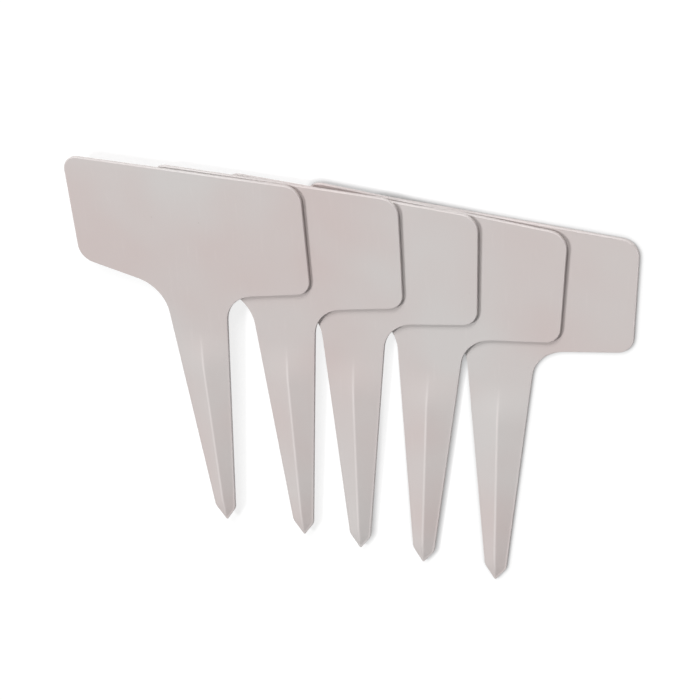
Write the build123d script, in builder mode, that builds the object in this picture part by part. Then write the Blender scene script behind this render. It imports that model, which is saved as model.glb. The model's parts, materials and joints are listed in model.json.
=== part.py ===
from build123d import *

import os
from math import asin, atan2, cos, pi, radians, sin

# A set of T-shaped plant label stakes, laid out on a table as a loose fan.
# Each stake is one thin moulding: a wide writing head, a tapered spike below it and a raised
# ridge that stiffens the spike. The stakes are alike. They overlap like a hand of cards: every
# head rests on the head below it, and the spikes slope down a little towards the table.
# Frame: millimetres, +Z up from the table, +Y from the tips to the heads, +X to the right.
# The origin is on the table, under the middle of the bottom stake's head.

# Label outline
label_length = 100.5        # top edge of the head to the corner of the tip, before rounding
head_width = 60.0
head_side = 27.5            # height of the head at its two ends
wing_drop = 4.7             # how much lower the head reaches at the spike than at its ends
neck_width = 16.5           # spike width where the lines of spike and head meet
shoulder_width = 5.5        # spike width where the point begins
point_length = 4.2
thickness = 0.8

# Rounding
top_corner_radius = 3.9
wing_corner_radius = 4.3
neck_radius = 9.0
shoulder_radius = 3.0
tip_radius = 0.3
edge_bevel = 0.2            # softened rims of the front and the back

# Stiffening ridge on the front of the spike
ridge_gap = 10.0            # plain neck left above the ridge
ridge_fade = 12.0           # length over which the ridge swells to its full height
ridge_dip = 4.6             # how far above the point the ridge begins to sink to the tip
ridge_rise = 0.9            # full height of the crest above the front
ridge_margin = 0.25         # plain strip between the foot of the ridge and the softened rim
crest_width = 0.8
crest_bulge = 0.05          # how far the rounded crest stands above the tops of the two slopes
fade_stations = 5           # sections that shape the swelling end
dip_stations = 3            # sections that shape the sinking end

# Fan: sideways, to the left of the stake below
fourth_step = 15.7
third_step = 19.1
second_step = 17.5
top_step = 22.3

# Fan: towards the heads, from the bottom stake
fourth_slip = 0.3
third_slip = 0.4
second_slip = 0.7
top_slip = -0.2

# Fan: degrees from the bottom stake, anticlockwise seen from above
fourth_turn = -1.8
third_turn = 0.0
second_turn = 1.7
top_turn = 2.4

# Fan: upwards
tip_lift = 0.5              # height of a tip over the tip of the stake below
stack_clearance = 0.08      # air left between two stakes where they come closest

# The pile, from the bottom to the top
stake_names = ("bottom_stake", "fourth_stake", "third_stake", "second_stake", "top_stake")
fan_steps = (0, fourth_step, third_step, second_step, top_step)
fan_slips = (0, fourth_slip, third_slip, second_slip, top_slip)
fan_turns = (0, fourth_turn, third_turn, second_turn, top_turn)

# Worked out from the sizes above, as heights over the tip
head_foot = label_length - head_side
neck_height = head_foot - wing_drop
head_middle = label_length - head_side / 2
ridge_start = neck_height - ridge_gap
dip_start = point_length + ridge_dip
spike_flare = (neck_width - shoulder_width) / (neck_height - point_length)
foot_inset = edge_bevel + ridge_margin
point_flare = shoulder_width / point_length
ridge_end = foot_inset / sin(atan2(point_flare, 2))

# Outline of the T, up the right side from the tip, with the radius of each corner
right_side = [
    (shoulder_width / 2, point_length),
    (neck_width / 2, neck_height),
    (head_width / 2, head_foot),
    (head_width / 2, label_length),
]
left_side = [(-x, y) for x, y in reversed(right_side)]
side_radii = [shoulder_radius, neck_radius, wing_corner_radius, top_corner_radius]
corner_radii = [tip_radius, *side_radii, *reversed(side_radii)]

with BuildSketch() as outline:
    with BuildLine():
        FilletPolyline((0, 0), *right_side, *left_side, radius=corner_radii, close=True)
    make_face()

# Two neighbours rest on each other at the lowest point that their outlines share
with BuildSketch() as overlap:
    add(outline.sketch)
    with Locations((min(fan_steps[1:]), 0)):
        add(outline.sketch, mode=Mode.INTERSECT)
rest_height = overlap.sketch.bounding_box().min.Y
stack_step = thickness + stack_clearance

# Sections of the ridge from the neck down: height over the tip, and share of the full rise
ridge_sections = []
for number in range(fade_stations):
    share = (number + 1) / fade_stations
    ridge_sections.append((ridge_start - share * ridge_fade, (1 - cos(pi * share)) / 2))
for number in range(dip_stations):
    height = dip_start - ridge_dip * number / (dip_stations - 1)
    share = (height - ridge_end) / (dip_start - ridge_end)
    ridge_sections.append((height, sin(pi / 2 * share)))


def half_foot(height):
    """Half the width of the ridge's foot at a height over the tip."""
    beside_spike = (shoulder_width + spike_flare * (height - point_length)) / 2 - foot_inset
    beside_point = point_flare * (height - ridge_end) / 2
    return min(beside_spike, beside_point)


def stake_plane(level):
    """Plane of a stake's back, with its origin at the tip and its Y axis along the spike.

    A stake higher in the pile leans more, because each head adds its full thickness to the pile
    and each tip only the tip lift.
    """
    turn = radians(fan_turns[level])
    lean = asin(level * (stack_step - tip_lift) / rest_height)
    along = Vector(-sin(turn), cos(turn), 0)
    across = Vector(cos(turn), sin(turn), 0)
    middle = Vector(-sum(fan_steps[: level + 1]), fan_slips[level], level * tip_lift)
    normal = Vector(0, 0, 1) * cos(lean) - along * sin(lean)
    return Plane(middle - along * (head_middle * cos(lean)), x_dir=across, z_dir=normal)


os.makedirs("parts", exist_ok=True)
for level, name in enumerate(stake_names):
    back = stake_plane(level)
    front = back.offset(thickness)

    with BuildPart() as stake:
        # Flat T with softened rims
        with BuildSketch(back):
            add(outline.sketch)
        extrude(amount=thickness)
        chamfer(faces().filter_by(back).edges(), edge_bevel)

        # Ridge: swells out of the neck, runs down the spike and sinks to the tip
        stations = [Vertex(front.from_local_coords((0, ridge_start, 0)))]
        for height, share in ridge_sections:
            foot = half_foot(height)
            crest_left = (-crest_width / 2, share * (ridge_rise - crest_bulge))
            crest_right = (crest_width / 2, share * (ridge_rise - crest_bulge))
            across_spike = Plane(
                front.from_local_coords((0, height, 0)), x_dir=back.x_dir, z_dir=-back.y_dir
            )
            with BuildSketch(across_spike, mode=Mode.PRIVATE) as section:
                with BuildLine():
                    Polyline(crest_left, (-foot, 0), (foot, 0), crest_right)
                    ThreePointArc(crest_right, (0, share * ridge_rise), crest_left)
                make_face()
            stations.append(section.sketch)
        stations.append(Vertex(front.from_local_coords((0, ridge_end, 0))))
        for upper, lower in zip(stations, stations[1:]):
            loft([upper, lower], ruled=True)

    stake.part.label = name
    export_step(stake.part, f"parts/{name}.step")
    print(f"{name}: {stake.part.volume:.1f} mm3, {len(stake.faces())} faces")
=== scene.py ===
import json
from math import pi, radians

import bpy
import numpy as np
from mathutils import Matrix, Quaternion, Vector


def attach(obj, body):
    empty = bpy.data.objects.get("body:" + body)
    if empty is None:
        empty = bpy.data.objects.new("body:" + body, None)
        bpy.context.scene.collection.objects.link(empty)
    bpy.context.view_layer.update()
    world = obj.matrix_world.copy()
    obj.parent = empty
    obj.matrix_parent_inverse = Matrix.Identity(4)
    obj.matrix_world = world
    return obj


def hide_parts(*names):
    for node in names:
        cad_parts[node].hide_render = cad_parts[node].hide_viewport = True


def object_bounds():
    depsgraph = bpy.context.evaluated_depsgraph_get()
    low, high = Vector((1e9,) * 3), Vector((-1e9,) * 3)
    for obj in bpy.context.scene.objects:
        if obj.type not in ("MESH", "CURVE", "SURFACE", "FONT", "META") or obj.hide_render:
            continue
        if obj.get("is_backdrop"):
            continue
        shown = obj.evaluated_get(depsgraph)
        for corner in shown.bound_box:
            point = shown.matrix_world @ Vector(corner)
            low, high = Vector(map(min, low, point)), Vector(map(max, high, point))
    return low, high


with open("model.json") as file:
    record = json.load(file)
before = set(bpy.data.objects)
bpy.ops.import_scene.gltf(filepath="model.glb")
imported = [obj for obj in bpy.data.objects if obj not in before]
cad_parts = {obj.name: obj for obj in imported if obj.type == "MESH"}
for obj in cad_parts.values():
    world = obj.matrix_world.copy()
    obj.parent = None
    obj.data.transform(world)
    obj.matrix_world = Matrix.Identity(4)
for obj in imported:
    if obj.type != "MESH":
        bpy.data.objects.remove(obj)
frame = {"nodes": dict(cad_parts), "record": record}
cad_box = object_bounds()

mm = 0.001

# Sizes of one label, in metres. They are the named inputs of the tree that moulds it.
label_sizes = {
    "Length": 100.5 * mm,
    "Head width": 60.0 * mm,
    "Head side": 27.5 * mm,
    "Wing drop": 4.7 * mm,
    "Neck width": 16.5 * mm,
    "Shoulder width": 5.5 * mm,
    "Point length": 4.2 * mm,
    "Thickness": 0.8 * mm,
    "Top corner radius": 3.9 * mm,
    "Wing corner radius": 4.3 * mm,
    "Neck radius": 9.0 * mm,
    "Shoulder radius": 3.0 * mm,
    "Tip radius": 0.3 * mm,
    "Rim radius": 0.2 * mm,
    "Ridge gap": 10.0 * mm,
    "Ridge fade": 12.0 * mm,
    "Ridge dip": 4.6 * mm,
    "Ridge rise": 0.9 * mm,
    "Ridge margin": 0.25 * mm,
    "Crest width": 0.8 * mm,
    "Crest bulge": 0.05 * mm,
}

# How finely the label is cut up
corner_steps = 10
rim_steps = 4
rim_strip = 1.25        # width of the flat strip behind a rounded rim, in rim radii
crest_columns = 7
slope_columns = 3       # a narrow one at the crest, a wide one and a narrow one at the foot
slope_edge = 0.06       # width of a narrow one, as a share of the slope
point_rows = 4
dip_rows = 4
run_rows = 6
fade_rows = 14
weld_distance = 0.002 * mm
flat_agreement = 0.9999     # how well a triangle of the flat back agrees with the largest one

# Plastic: colours, and the sizes of its cloudiness, grain, scuffs and specks, and of its paler
# patches: rubbed wear and a painted highlight on the rims, and a painted highlight along the crest
rosy_colour = (0.546, 0.474, 0.460, 1)
grey_colour = (0.560, 0.532, 0.521, 1)
pale_wear_and_highlight_colour = (0.74, 0.69, 0.68, 1)
speck_colour = (0.30, 0.26, 0.24, 1)
plastic_roughness = 0.46
cloud_size = 34.0 * mm
cloud_shift = (2.1, 2.1, 0.2)
cloud_detail = 2.0
cloud_contrast = 3.0
cloud_roughness = 0.06
grain_size = 0.4 * mm
grain_detail = 1.5
grain_depth = 0.02 * mm
grain_strength = 0.2
grain_roughness = 0.08
scuff_size = 3.0 * mm
scuff_detail = 3.0
scuff_stretch = (4.0, 0.35, 1.0)
scuff_turn = radians(24)
scuff_start = 0.6
scuff_sharpness = 5.0
scuff_strength = 0.08
scuff_polish = 0.05
speck_spacing = 7.0 * mm
speck_radius = 0.16 * mm
speck_strength = 0.3
pale_patch_size = 6.0 * mm
pale_patch_detail = 2.0
pale_patch_least = 0.5
rim_wear_and_highlight = 0.3
crest_painted_highlight = 0.95

# Camera of a 700 by 700 picture
camera_place = Vector((108.164, 211.661, 330.386)) * mm
camera_target = Vector((-36.677, -28.883, 0.0)) * mm
camera_roll = radians(-143.536)
camera_lens = 96.262
camera_sensor = 36.0
camera_near = 10.0 * mm
camera_far = 30.0

# Light: place, size and power of each lamp
lamps = {
    "left": (Vector((-1465.0, 163.0, 2050.0)) * mm, 0.5, 33.5),
    "back": (Vector((-190.0, 1640.0, 1090.0)) * mm, 0.7, 25.0),
    "right": (Vector((143.0, -36.0, 355.0)) * mm, 0.2, 0.12),
}
ambient_level = 0.2

# Table: the light it throws back, and its two whites for the camera. Where the table is lit and
# open they come to full white: paint, which shows the cast shadows, and lift, a glow that is dimmed
# by ambient occlusion close to a label and so paints shade there. Far from the labels the lift
# alone is full white.
floor_reach = 3.0
floor_drop = 0.02 * mm
floor_bounce = 0.9
floor_paint = 0.26
floor_lift = 0.79
painted_shade_reach = 1.6 * mm
painted_shade_power = 1.15
far_start = 0.25
far_fade = 0.5


class Wire:
    """An output socket of a node tree. Arithmetic on it adds Math nodes to the tree."""

    def __init__(self, socket):
        self.socket = socket
        self.tree = socket.id_data

    @staticmethod
    def node(tree, kind, settings=None, inputs=None):
        """Adds a node of any kind: its settings first, then the values or links of its sockets."""
        made = tree.nodes.new(kind)
        for name, value in (settings or {}).items():
            if name == "choices":
                for extra in range(value - len(made.index_switch_items)):
                    made.index_switch_items.new()
            else:
                setattr(made, name, value)
        for name, value in (inputs or {}).items():
            socket = next(s for s in made.inputs if s.enabled and name in (s.identifier, s.name))
            for one in value if isinstance(value, list) else [value]:
                if isinstance(one, Wire):
                    tree.links.new(one.socket, socket)
                else:
                    socket.default_value = one
        return Wire(next(s for s in made.outputs if s.enabled)) if made.outputs else made

    def out(self, name):
        """Another output of the same node."""
        return Wire(next(s for s in self.socket.node.outputs if s.enabled and s.name == name))

    def math(self, operation, *values):
        inputs = dict(zip(("Value", "Value_001"), values))
        return Wire.node(self.tree, "ShaderNodeMath", {"operation": operation}, inputs)

    def __add__(self, other):
        return self.math("ADD", self, other)

    def __sub__(self, other):
        return self.math("SUBTRACT", self, other)

    def __rsub__(self, other):
        return self.math("SUBTRACT", other, self)

    def __mul__(self, other):
        return self.math("MULTIPLY", self, other)

    def __truediv__(self, other):
        return self.math("DIVIDE", self, other)

    def __neg__(self):
        return self.math("MULTIPLY", self, -1.0)

    def __lt__(self, other):
        return self.math("LESS_THAN", self, other)

    def __gt__(self, other):
        return self.math("GREATER_THAN", self, other)

    __radd__ = __add__
    __rmul__ = __mul__

    def least(self, other):
        return self.math("MINIMUM", self, other)

    def most(self, other):
        return self.math("MAXIMUM", self, other)


def label_tree():
    """Geometry Nodes tree that moulds one label, on its back with its tip at the origin."""
    tree = bpy.data.node_groups.new("label_moulding", "GeometryNodeTree")
    for name in label_sizes:
        tree.interface.new_socket(name, in_out="INPUT", socket_type="NodeSocketFloat")
    tree.interface.new_socket("Place", in_out="INPUT", socket_type="NodeSocketVector")
    tree.interface.new_socket("Turn", in_out="INPUT", socket_type="NodeSocketRotation")
    tree.interface.new_socket("Plastic", in_out="INPUT", socket_type="NodeSocketMaterial")
    tree.interface.new_socket("Label", in_out="OUTPUT", socket_type="NodeSocketGeometry")
    entry = tree.nodes.new("NodeGroupInput")
    size = {socket.name: Wire(socket) for socket in entry.outputs if socket.name}

    def node(kind, settings=None, inputs=None):
        return Wire.node(tree, kind, settings, inputs)

    def point(x, y, z=0.0):
        return node("ShaderNodeCombineXYZ", None, {"X": x, "Y": y, "Z": z})

    def by_index(data_type, values):
        inputs = {str(number): value for number, value in enumerate(values)}
        inputs["Index"] = node("GeometryNodeInputIndex")
        settings = {"data_type": data_type, "choices": len(values)}
        return node("GeometryNodeIndexSwitch", settings, inputs)

    def polyline(points, radii, steps, closed):
        """Curve through the points, with each corner rounded by its radius."""
        line = node("GeometryNodeMeshLine", None, {"Count": len(points)})
        line = node("GeometryNodeSetPosition", None,
                    {"Geometry": line, "Position": by_index("VECTOR", points)})
        line = node("GeometryNodeStoreNamedAttribute", {"data_type": "FLOAT"},
                    {"Geometry": line, "Name": "corner", "Value": by_index("FLOAT", radii)})
        curve = node("GeometryNodeMeshToCurve", None, {"Mesh": line})
        curve = node("GeometryNodeSetSplineCyclic", None, {"Geometry": curve, "Cyclic": closed})
        corner = node("GeometryNodeInputNamedAttribute", {"data_type": "FLOAT"}, {"Name": "corner"})
        inputs = {"Curve": curve, "Radius": corner, "Count": steps, "Limit Radius": True}
        return node("GeometryNodeFilletCurve", {"mode": "POLY"}, inputs)

    def marked(mesh, name, value):
        """The mesh with a value kept on its points, for the plastic's wear and its painted highlights.
        """
        return node("GeometryNodeStoreNamedAttribute", {"data_type": "FLOAT"},
                    {"Geometry": mesh, "Name": name, "Value": value})

    def welded(*meshes):
        joined = node("GeometryNodeJoinGeometry", None, {"Geometry": list(meshes)})
        return node("GeometryNodeMergeByDistance", None,
                    {"Geometry": joined, "Distance": weld_distance})

    def open_edges(mesh, where=1.0):
        """Curve along the edges of a mesh that border one face only."""
        faces = node("GeometryNodeInputMeshEdgeNeighbors")
        return node("GeometryNodeMeshToCurve", None,
                    {"Mesh": mesh, "Selection": (faces < 1.5) * where})

    def sine(angle):
        return angle.math("SINE", angle)

    def filled(curves, level):
        face = node("GeometryNodeFillCurve", {"mode": "TRIANGLES"}, {"Curve": curves})
        return node("GeometryNodeTransform", None,
                    {"Geometry": face, "Translation": point(0.0, 0.0, level)})

    # Outline: right side from the tip up, then the left side down
    head_foot = size["Length"] - size["Head side"]
    neck_height = head_foot - size["Wing drop"]
    right_side = [
        (size["Shoulder width"] / 2, size["Point length"]),
        (size["Neck width"] / 2, neck_height),
        (size["Head width"] / 2, head_foot),
        (size["Head width"] / 2, size["Length"]),
    ]
    left_side = [(-x, y) for x, y in reversed(right_side)]
    names = ("Shoulder radius", "Neck radius", "Wing corner radius", "Top corner radius")
    side_radii = [size[name] for name in names]
    corners = [point(x, y) for x, y in [(0.0, 0.0), *right_side, *left_side]]
    radii = [size["Tip radius"], *side_radii, *reversed(side_radii)]
    outline = polyline(corners, radii, corner_steps, True)

    # Side wall with rounded rims, swept round the outline; the sweep turns the profile's Y down
    rim = size["Rim radius"]
    thick = size["Thickness"]
    strip = rim * -rim_strip
    profile = polyline(
        [point(strip, -thick), point(0.0, -thick), point(0.0, 0.0), point(strip, 0.0)],
        [0.0, rim, rim, 0.0], rim_steps, False)
    outline = node("GeometryNodeSetCurveNormal", {"mode": "Z_UP"}, {"Curve": outline})
    wall = node("GeometryNodeCurveToMesh", None, {"Curve": outline, "Profile Curve": profile})

    # Ridge: a sheet that swells out of the neck, runs down the spike and sinks to the tip
    inset = rim + size["Ridge margin"]
    flare = (size["Neck width"] - size["Shoulder width"]) / (neck_height - size["Point length"])
    point_flare = size["Shoulder width"] / size["Point length"]
    ridge_end = inset / sine(point_flare.math("ARCTAN2", point_flare, 2.0))
    ridge_start = neck_height - size["Ridge gap"]
    dip_start = size["Point length"] + size["Ridge dip"]
    legs = [
        (point_rows, size["Point length"] - ridge_end),
        (dip_rows, size["Ridge dip"]),
        (run_rows, ridge_start - size["Ridge fade"] - dip_start),
        (fade_rows, size["Ridge fade"]),
    ]
    rows = sum(count for count, length in legs)
    crest_half = (crest_columns - 1) / 2
    columns = crest_columns + 2 * slope_columns
    sheet = node("GeometryNodeMeshGrid", None,
                 {"Size X": columns - 1.0, "Size Y": float(rows),
                  "Vertices X": columns, "Vertices Y": rows + 1})
    grid = node("ShaderNodeSeparateXYZ", None, {"Vector": node("GeometryNodeInputPosition")})
    column = grid.out("X")
    row = grid.out("Y") + rows / 2
    height = ridge_end
    for count, length in legs:
        height = height + row.most(0.0).least(float(count)) * (length / float(count))
        row = row - float(count)
    sinking = ((height - ridge_end) / (dip_start - ridge_end)).least(1.0)
    fading = ((ridge_start - height) / size["Ridge fade"]).least(1.0)
    swell = sine(sinking * (pi / 2)) * (1.0 - sine(pi / 2 - fading * pi)) / 2
    narrowing = ((height - ridge_end) / (size["Point length"] - ridge_end)).least(1.0)
    beside_spike = (size["Shoulder width"] + flare * (height - size["Point length"])) / 2 - inset
    half_foot = beside_spike.least(point_flare * (height - ridge_end) / 2)
    half_crest = size["Crest width"] / 2 * narrowing
    bow = column.most(-crest_half).least(crest_half) / crest_half
    beyond = column.most(-column) - crest_half
    down = beyond.most(0.0).least(1.0) * slope_edge + (beyond - 2.0).most(0.0) * slope_edge
    down = down + (beyond - 1.0).most(0.0).least(1.0) * (1.0 - 2.0 * slope_edge)
    ridge_x = bow * (half_crest + down * (half_foot - half_crest))
    ridge_z = swell * (size["Ridge rise"] - size["Crest bulge"] * bow * bow) * (1.0 - down)
    # Crest mark for a painted highlight along the ridge's crest, strongest in its middle
    sheet = marked(sheet, "crest", swell * (1.0 - bow.most(-bow)))
    ridge = node("GeometryNodeSetPosition", None,
                 {"Geometry": sheet, "Position": point(ridge_x, height, ridge_z)})
    ridge = welded(ridge)

    # Flat back, and flat front round the foot of the ridge
    level = node("ShaderNodeSeparateXYZ", None, {"Vector": node("GeometryNodeInputPosition")}).out("Z")
    back_rim = open_edges(wall, level < thick / 2)
    front_rim = open_edges(wall, level > thick / 2)
    foot = open_edges(ridge)
    back = node("GeometryNodeFlipFaces", None, {"Mesh": filled(back_rim, 0.0)})
    around = node("GeometryNodeJoinGeometry", None, {"Geometry": [front_rim, foot]})
    front = filled(around, thick)
    ridge = node("GeometryNodeTransform", None,
                 {"Geometry": ridge, "Translation": point(0.0, 0.0, thick)})

    # Rim marks, for rubbed wear and a painted highlight on the rims: 1 on the rounded rims, 0 where the
    # flat faces begin
    touching = node("GeometryNodeInputMeshVertexNeighbors").out("Face Count")
    wall = marked(wall, "rim", touching > 2.5)
    label = welded(wall, back, front, ridge)
    label = node("GeometryNodeRemoveAttribute", None, {"Geometry": label, "Name": "corner"})

    # Smooth shading, then onto its place in the fan
    label = node("GeometryNodeSetShadeSmooth", {"domain": "FACE"},
                 {"Geometry": label, "Shade Smooth": True})
    label = node("GeometryNodeTransform", None,
                 {"Geometry": label, "Translation": size["Place"], "Rotation": size["Turn"]})
    label = node("GeometryNodeRealizeInstances", None, {"Geometry": label})
    label = node("GeometryNodeSetMaterial", None, {"Geometry": label, "Material": size["Plastic"]})
    exit_node = tree.nodes.new("NodeGroupOutput")
    tree.links.new(label.socket, exit_node.inputs["Label"])
    return tree


def label_plastic():
    """Warm grey moulded plastic with a fine writing grain, paler on the rims, partly from rubbed wear
    and partly as a painted highlight, and with a painted highlight along the ridge's crest.
    """
    material = bpy.data.materials.new("label_plastic")
    material.use_nodes = True
    tree = material.node_tree
    tree.nodes.clear()

    def node(kind, settings=None, inputs=None):
        return Wire.node(tree, kind, settings, inputs)

    place = node("ShaderNodeTexCoord").out("Object")

    def noise(size, detail, vector=place):
        return node("ShaderNodeTexNoise", None, {"Vector": vector, "Scale": 1 / size, "Detail": detail})

    def blend(factor, first, second):
        return node("ShaderNodeMix", {"data_type": "RGBA"}, {"Factor": factor, "A": first, "B": second})

    def worn(name):
        return node("ShaderNodeAttribute", {"attribute_name": name}).out("Fac")

    shifted = node("ShaderNodeMapping", {"vector_type": "POINT"},
                   {"Vector": place, "Location": cloud_shift})
    cloud = noise(cloud_size, cloud_detail, shifted)
    grain = noise(grain_size, grain_detail)
    stretched = node("ShaderNodeMapping", {"vector_type": "POINT"},
                     {"Vector": place, "Rotation": (0.0, 0.0, scuff_turn), "Scale": scuff_stretch})
    scuff = (noise(scuff_size, scuff_detail, stretched) - scuff_start) * scuff_sharpness
    scuff = scuff.most(0.0).least(1.0)
    speck = node("ShaderNodeTexVoronoi", None, {"Vector": place, "Scale": 1 / speck_spacing})
    speck = speck.out("Distance") < speck_radius / speck_spacing
    patchy = pale_patch_least + (1.0 - pale_patch_least) * noise(pale_patch_size, pale_patch_detail)
    # Paler where the rims are rubbed, with a painted highlight on the rims and along the crest
    wear_and_highlight = (worn("rim") * rim_wear_and_highlight + worn("crest") * crest_painted_highlight) * patchy

    tint = ((cloud - 0.5) * cloud_contrast + 0.5).most(0.0).least(1.0)
    colour = blend(tint, rosy_colour, grey_colour)
    colour = blend(scuff * scuff_strength, colour, pale_wear_and_highlight_colour)
    colour = blend(wear_and_highlight.least(1.0), colour, pale_wear_and_highlight_colour)
    colour = blend(speck * speck_strength, colour, speck_colour)
    roughness = plastic_roughness + grain_roughness * (grain - 0.5)
    roughness = roughness + cloud_roughness * (cloud - 0.5) - scuff_polish * scuff
    bump = node("ShaderNodeBump", None,
                {"Height": grain, "Strength": grain_strength, "Distance": grain_depth})
    surface = node("ShaderNodeBsdfPrincipled", None,
                   {"Base Color": colour, "Roughness": roughness, "Normal": bump})
    node("ShaderNodeOutputMaterial", None, {"Surface": surface})
    return material


def stake_place(name):
    """Where a stake lies, read off its solid: the corner of its tip and the turn of its axes."""
    mesh = frame["nodes"][name].data
    mesh.calc_loop_triangles()
    points = np.array([vertex.co for vertex in mesh.vertices])
    corners = points[[list(triangle.vertices) for triangle in mesh.loop_triangles]]
    spans = np.cross(corners[:, 1] - corners[:, 0], corners[:, 2] - corners[:, 0]) / 2
    areas = np.linalg.norm(spans, axis=1)

    # The back is every triangle that faces the way of the largest one that looks down
    lowest = np.argmin(spans[:, 2])
    up = -spans[lowest] / areas[lowest]
    back = spans @ up < -flat_agreement * areas
    corners, areas = corners[back], areas[back]
    centre = areas @ corners.mean(axis=1) / areas.sum()

    # The label is symmetric, so its length lies along the back's longer axis
    arms = corners - centre
    spread = np.einsum("t,tci,tcj->ij", areas, arms, arms)
    spread += np.einsum("t,ti,tj->ij", areas, arms.sum(axis=1), arms.sum(axis=1))
    along = np.linalg.eigh(spread)[1][:, -1]
    along *= np.sign(along[1])
    across = np.cross(along, up)
    reach = ((points - centre) @ along).max()
    tip = centre + along * (reach - label_sizes["Length"])
    return Vector(tip), Matrix((across, along, up)).transposed().to_euler()


def mould_label(tree, plastic, name):
    """One label in its place in the fan, as a plain mesh."""
    place, turn = stake_place(name)
    label = bpy.data.objects.new(name.replace("stake", "label"), bpy.data.meshes.new("blank"))
    bpy.context.scene.collection.objects.link(label)
    moulding = label.modifiers.new("moulding", "NODES")
    moulding.node_group = tree
    values = {**label_sizes, "Place": place, "Turn": turn, "Plastic": plastic}
    for item in tree.interface.items_tree:
        if item.in_out == "INPUT":
            moulding[item.identifier] = values[item.name]
    depsgraph = bpy.context.evaluated_depsgraph_get()
    label.data = bpy.data.meshes.new_from_object(
        label.evaluated_get(depsgraph), preserve_all_data_layers=True, depsgraph=depsgraph)
    label.modifiers.clear()
    return label


def camera_background(tree):
    """1 for what the camera sees, directly or in a reflection, and 0 for the light on the object."""
    path = Wire.node(tree, "ShaderNodeLightPath")
    seen = path.out("Is Camera Ray").most(path.out("Is Glossy Ray"))
    return seen.most(path.out("Is Transmission Ray"))


def white_floor():
    """Table top: white to the camera, darker where the labels cast shadows, and with painted shade
    close to them.
    """
    material = bpy.data.materials.new("white_table")
    material.use_nodes = True
    tree = material.node_tree
    tree.nodes.clear()
    seen = camera_background(tree)
    shades = {"A": (floor_bounce,) * 3 + (1,), "B": (floor_paint,) * 3 + (1,)}
    colour = Wire.node(tree, "ShaderNodeMix", {"data_type": "RGBA"}, {"Factor": seen, **shades})
    paint = Wire.node(tree, "ShaderNodeBsdfDiffuse", None, {"Color": colour})
    # Painted shade: close to a label the lift is dimmed by ambient occlusion
    sky = Wire.node(tree, "ShaderNodeAmbientOcclusion", None, {"Distance": painted_shade_reach}).out("AO")
    near = sky.math("POWER", sky, painted_shade_power) * floor_lift
    place = Wire.node(tree, "ShaderNodeTexCoord").out("Object")
    distance = Wire.node(tree, "ShaderNodeVectorMath", {"operation": "LENGTH"}, {"Vector": place})
    far = ((distance - far_start) / far_fade).most(0.0).least(1.0) * (1.0 - floor_lift)
    lift = Wire.node(tree, "ShaderNodeEmission", None, {"Color": seen * (near + far)})
    both = Wire.node(tree, "ShaderNodeAddShader", None, {"Shader": paint, "Shader_001": lift})
    Wire.node(tree, "ShaderNodeOutputMaterial", None, {"Surface": both})
    mesh = bpy.data.meshes.new("table")
    corners = [(-1, -1), (1, -1), (1, 1), (-1, 1)]
    sheet = [(x * floor_reach, y * floor_reach, -floor_drop) for x, y in corners]
    mesh.from_pydata(sheet, [], [(0, 1, 2, 3)])
    mesh.materials.append(material)
    table = bpy.data.objects.new("table", mesh)
    bpy.context.scene.collection.objects.link(table)
    table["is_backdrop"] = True


def studio_light(aim):
    """White surroundings, and soft lamps high on the left, behind the heads and close on the right."""
    world = bpy.data.worlds.new("studio")
    world.use_nodes = True
    tree = world.node_tree
    tree.nodes.clear()
    strength = ambient_level + (1.0 - ambient_level) * camera_background(tree)
    glow = Wire.node(tree, "ShaderNodeBackground", None, {"Color": (1, 1, 1, 1), "Strength": strength})
    Wire.node(tree, "ShaderNodeOutputWorld", None, {"Surface": glow})
    bpy.context.scene.world = world
    for name, (place, size, power) in lamps.items():
        lamp = bpy.data.lights.new(name, "AREA")
        lamp.size = size
        lamp.energy = power
        holder = bpy.data.objects.new(name, lamp)
        holder.location = place
        holder.rotation_mode = "QUATERNION"
        holder.rotation_quaternion = (aim - place).to_track_quat("-Z", "Y")
        bpy.context.scene.collection.objects.link(holder)


def photo_camera():
    """Camera at the picture's viewing angle. It looks from the heads' side and is rolled over."""
    lens = bpy.data.cameras.new("camera")
    lens.sensor_width = camera_sensor
    lens.lens = camera_lens
    lens.clip_start = camera_near
    lens.clip_end = camera_far
    camera = bpy.data.objects.new("camera", lens)
    camera.location = camera_place
    camera.rotation_mode = "QUATERNION"
    level = (camera_target - camera_place).to_track_quat("-Z", "Y")
    camera.rotation_quaternion = level @ Quaternion((0, 0, 1), camera_roll)
    bpy.context.scene.collection.objects.link(camera)
    bpy.context.scene.camera = camera


tree = label_tree()
plastic = label_plastic()
for body, nodes in frame["record"]["behaviour"]["bodies"].items():
    for name in nodes:
        label = mould_label(tree, plastic, name)
        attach(label, body)
        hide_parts(name)

white_floor()
studio_light((cad_box[0] + cad_box[1]) / 2)
photo_camera()
bpy.context.scene.view_settings.view_transform = "Standard"

boxes = {"cad": cad_box, "visual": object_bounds()}
{name: [list(corner) for corner in box] for name, box in boxes.items()}
